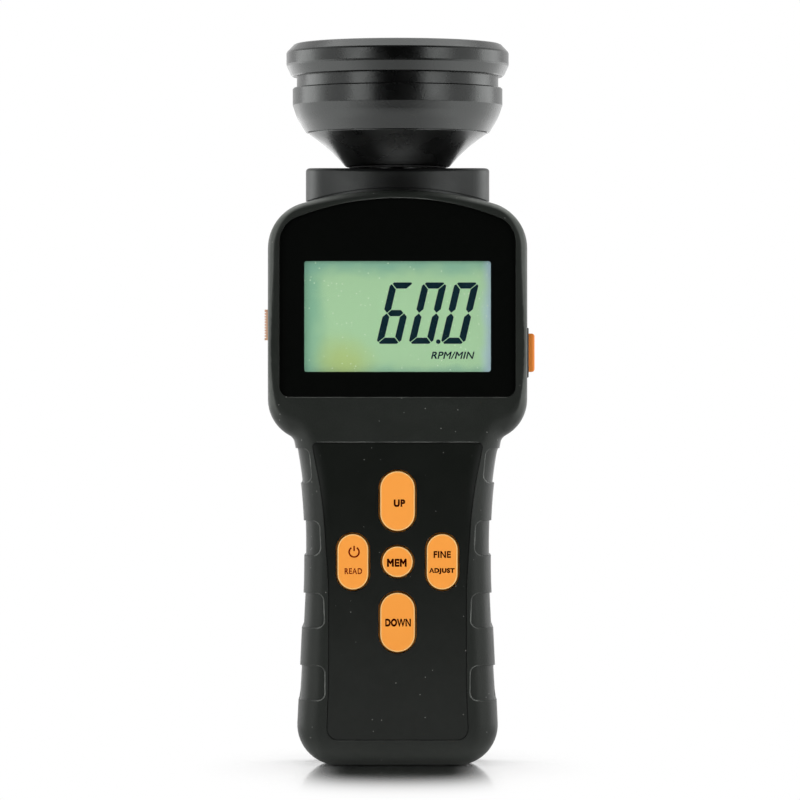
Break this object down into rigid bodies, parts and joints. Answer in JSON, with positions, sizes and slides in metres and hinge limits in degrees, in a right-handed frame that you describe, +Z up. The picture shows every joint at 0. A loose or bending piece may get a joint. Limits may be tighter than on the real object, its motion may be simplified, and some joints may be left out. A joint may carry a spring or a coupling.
{
  "type": "xenon stroboscope",
  "caption": "Handheld digital xenon stroboscope with a keypad grip, display head and flash lamp on top.",
  "frame": {"origin": "on the flat foot, in the middle of the case's width and of the head's depth", "axes": "+X to the user's right, +Y from the keypad face to the back, +Z up towards the lamp"},
  "size_m": [0.078, 0.0642, 0.2076],
  "materials": {
    "case_plastic": "fine-textured charcoal",
    "panel_plastic": "satin black",
    "lens_acrylic": "clear gloss",
    "bond_film": "black",
    "lcd_cell": "pale green display",
    "key_orange": "satin orange",
    "black_rubber": "matte",
    "lamp_metal": "black anodised",
    "mirror_metal": "bright reflector",
    "clear_glass": "clear",
    "white_ceramic": "unglazed",
    "steel_bright": "bright",
    "steel_black": "black oxide",
    "spring_brass": "plated",
    "board_green": "solder mask",
    "chip_black": "moulded",
    "white_plastic": "moulded",
    "ferrite": "sintered",
    "copper_winding": "enamelled wire",
    "cell_can": "sleeved can",
    "lead_red": "insulated lead"
  },
  "bodies": {
    "case": {"front_cover": "case_plastic", "rear_cover": "case_plastic", "keypad_plate": "panel_plastic", "display_lens": "lens_acrylic", "lens_bond_frame": "bond_film", "lcd_glass": "lcd_cell", "lcd_frame": "white_plastic", "zebra_strips": "black_rubber", "keypad_mat": "black_rubber", "main_board": "board_green", "board_chips": "chip_black", "hv_board": "board_green", "board_header": "white_plastic", "flash_capacitor": "cell_can", "transformer_core": "ferrite", "transformer_coil": "copper_winding", "trigger_coil": "white_plastic", "side_button_bezel": "panel_plastic", "side_switch_body": "chip_black", "slide_switch_body": "chip_black", "lamp_collar": "lamp_metal", "neck_washer": "black_rubber", "neck_nut": "steel_bright", "neck_cone": "lamp_metal", "lamp_cup": "lamp_metal", "bezel_gasket": "black_rubber", "bezel_ring": "lamp_metal", "reflector": "mirror_metal", "glass_seal": "black_rubber", "glass_window": "clear_glass", "lamp_socket": "white_ceramic", "flash_tube": "clear_glass", "tube_electrodes": "steel_bright", "trigger_wire": "steel_bright", "lamp_leads": "lead_red", "battery_leads": "lead_red", "aa_cells": "cell_can", "battery_springs": "spring_brass", "battery_contacts": "spring_brass", "case_screws": "steel_black", "board_screws": "steel_bright"},
    "up_key": {"key_up": "key_orange"},
    "down_key": {"key_down": "key_orange"},
    "read_key": {"key_read": "key_orange"},
    "mem_key": {"key_mem": "key_orange"},
    "fine_key": {"key_fine": "key_orange"},
    "side_push_button": {"side_button": "key_orange", "side_switch_plunger": "white_plastic"},
    "mode_slider": {"slide_knob": "key_orange", "slide_switch_lever": "white_plastic"},
    "cell_door": {"battery_door": "case_plastic"}
  },
  "joints": [
    {"name": "up_key_press", "type": "slide", "parent": "case", "child": "up_key", "axis": [0, 1, 0], "range_m": [0, 0.001], "stiffness_N_per_m": 300},
    {"name": "down_key_press", "type": "slide", "parent": "case", "child": "down_key", "axis": [0, 1, 0], "range_m": [0, 0.001], "stiffness_N_per_m": 300},
    {"name": "read_key_press", "type": "slide", "parent": "case", "child": "read_key", "axis": [0, 1, 0], "range_m": [0, 0.001], "stiffness_N_per_m": 300},
    {"name": "mem_key_press", "type": "slide", "parent": "case", "child": "mem_key", "axis": [0, 1, 0], "range_m": [0, 0.001], "stiffness_N_per_m": 300},
    {"name": "fine_key_press", "type": "slide", "parent": "case", "child": "fine_key", "axis": [0, 1, 0], "range_m": [0, 0.001], "stiffness_N_per_m": 300},
    {"name": "side_button_press", "type": "slide", "parent": "case", "child": "side_push_button", "axis": [-1, 0, 0], "range_m": [0, 0.0012], "stiffness_N_per_m": 300},
    {"name": "mode_slide", "type": "slide", "parent": "case", "child": "mode_slider", "axis": [0, 0, 1], "range_m": [-0.003, 0]},
    {"name": "cell_door_hinge", "type": "hinge", "parent": "case", "child": "cell_door", "pos_m": [0, 0.017, 0.0121], "axis": [-1, 0, 0], "range_deg": [0, 80]}
  ]
}
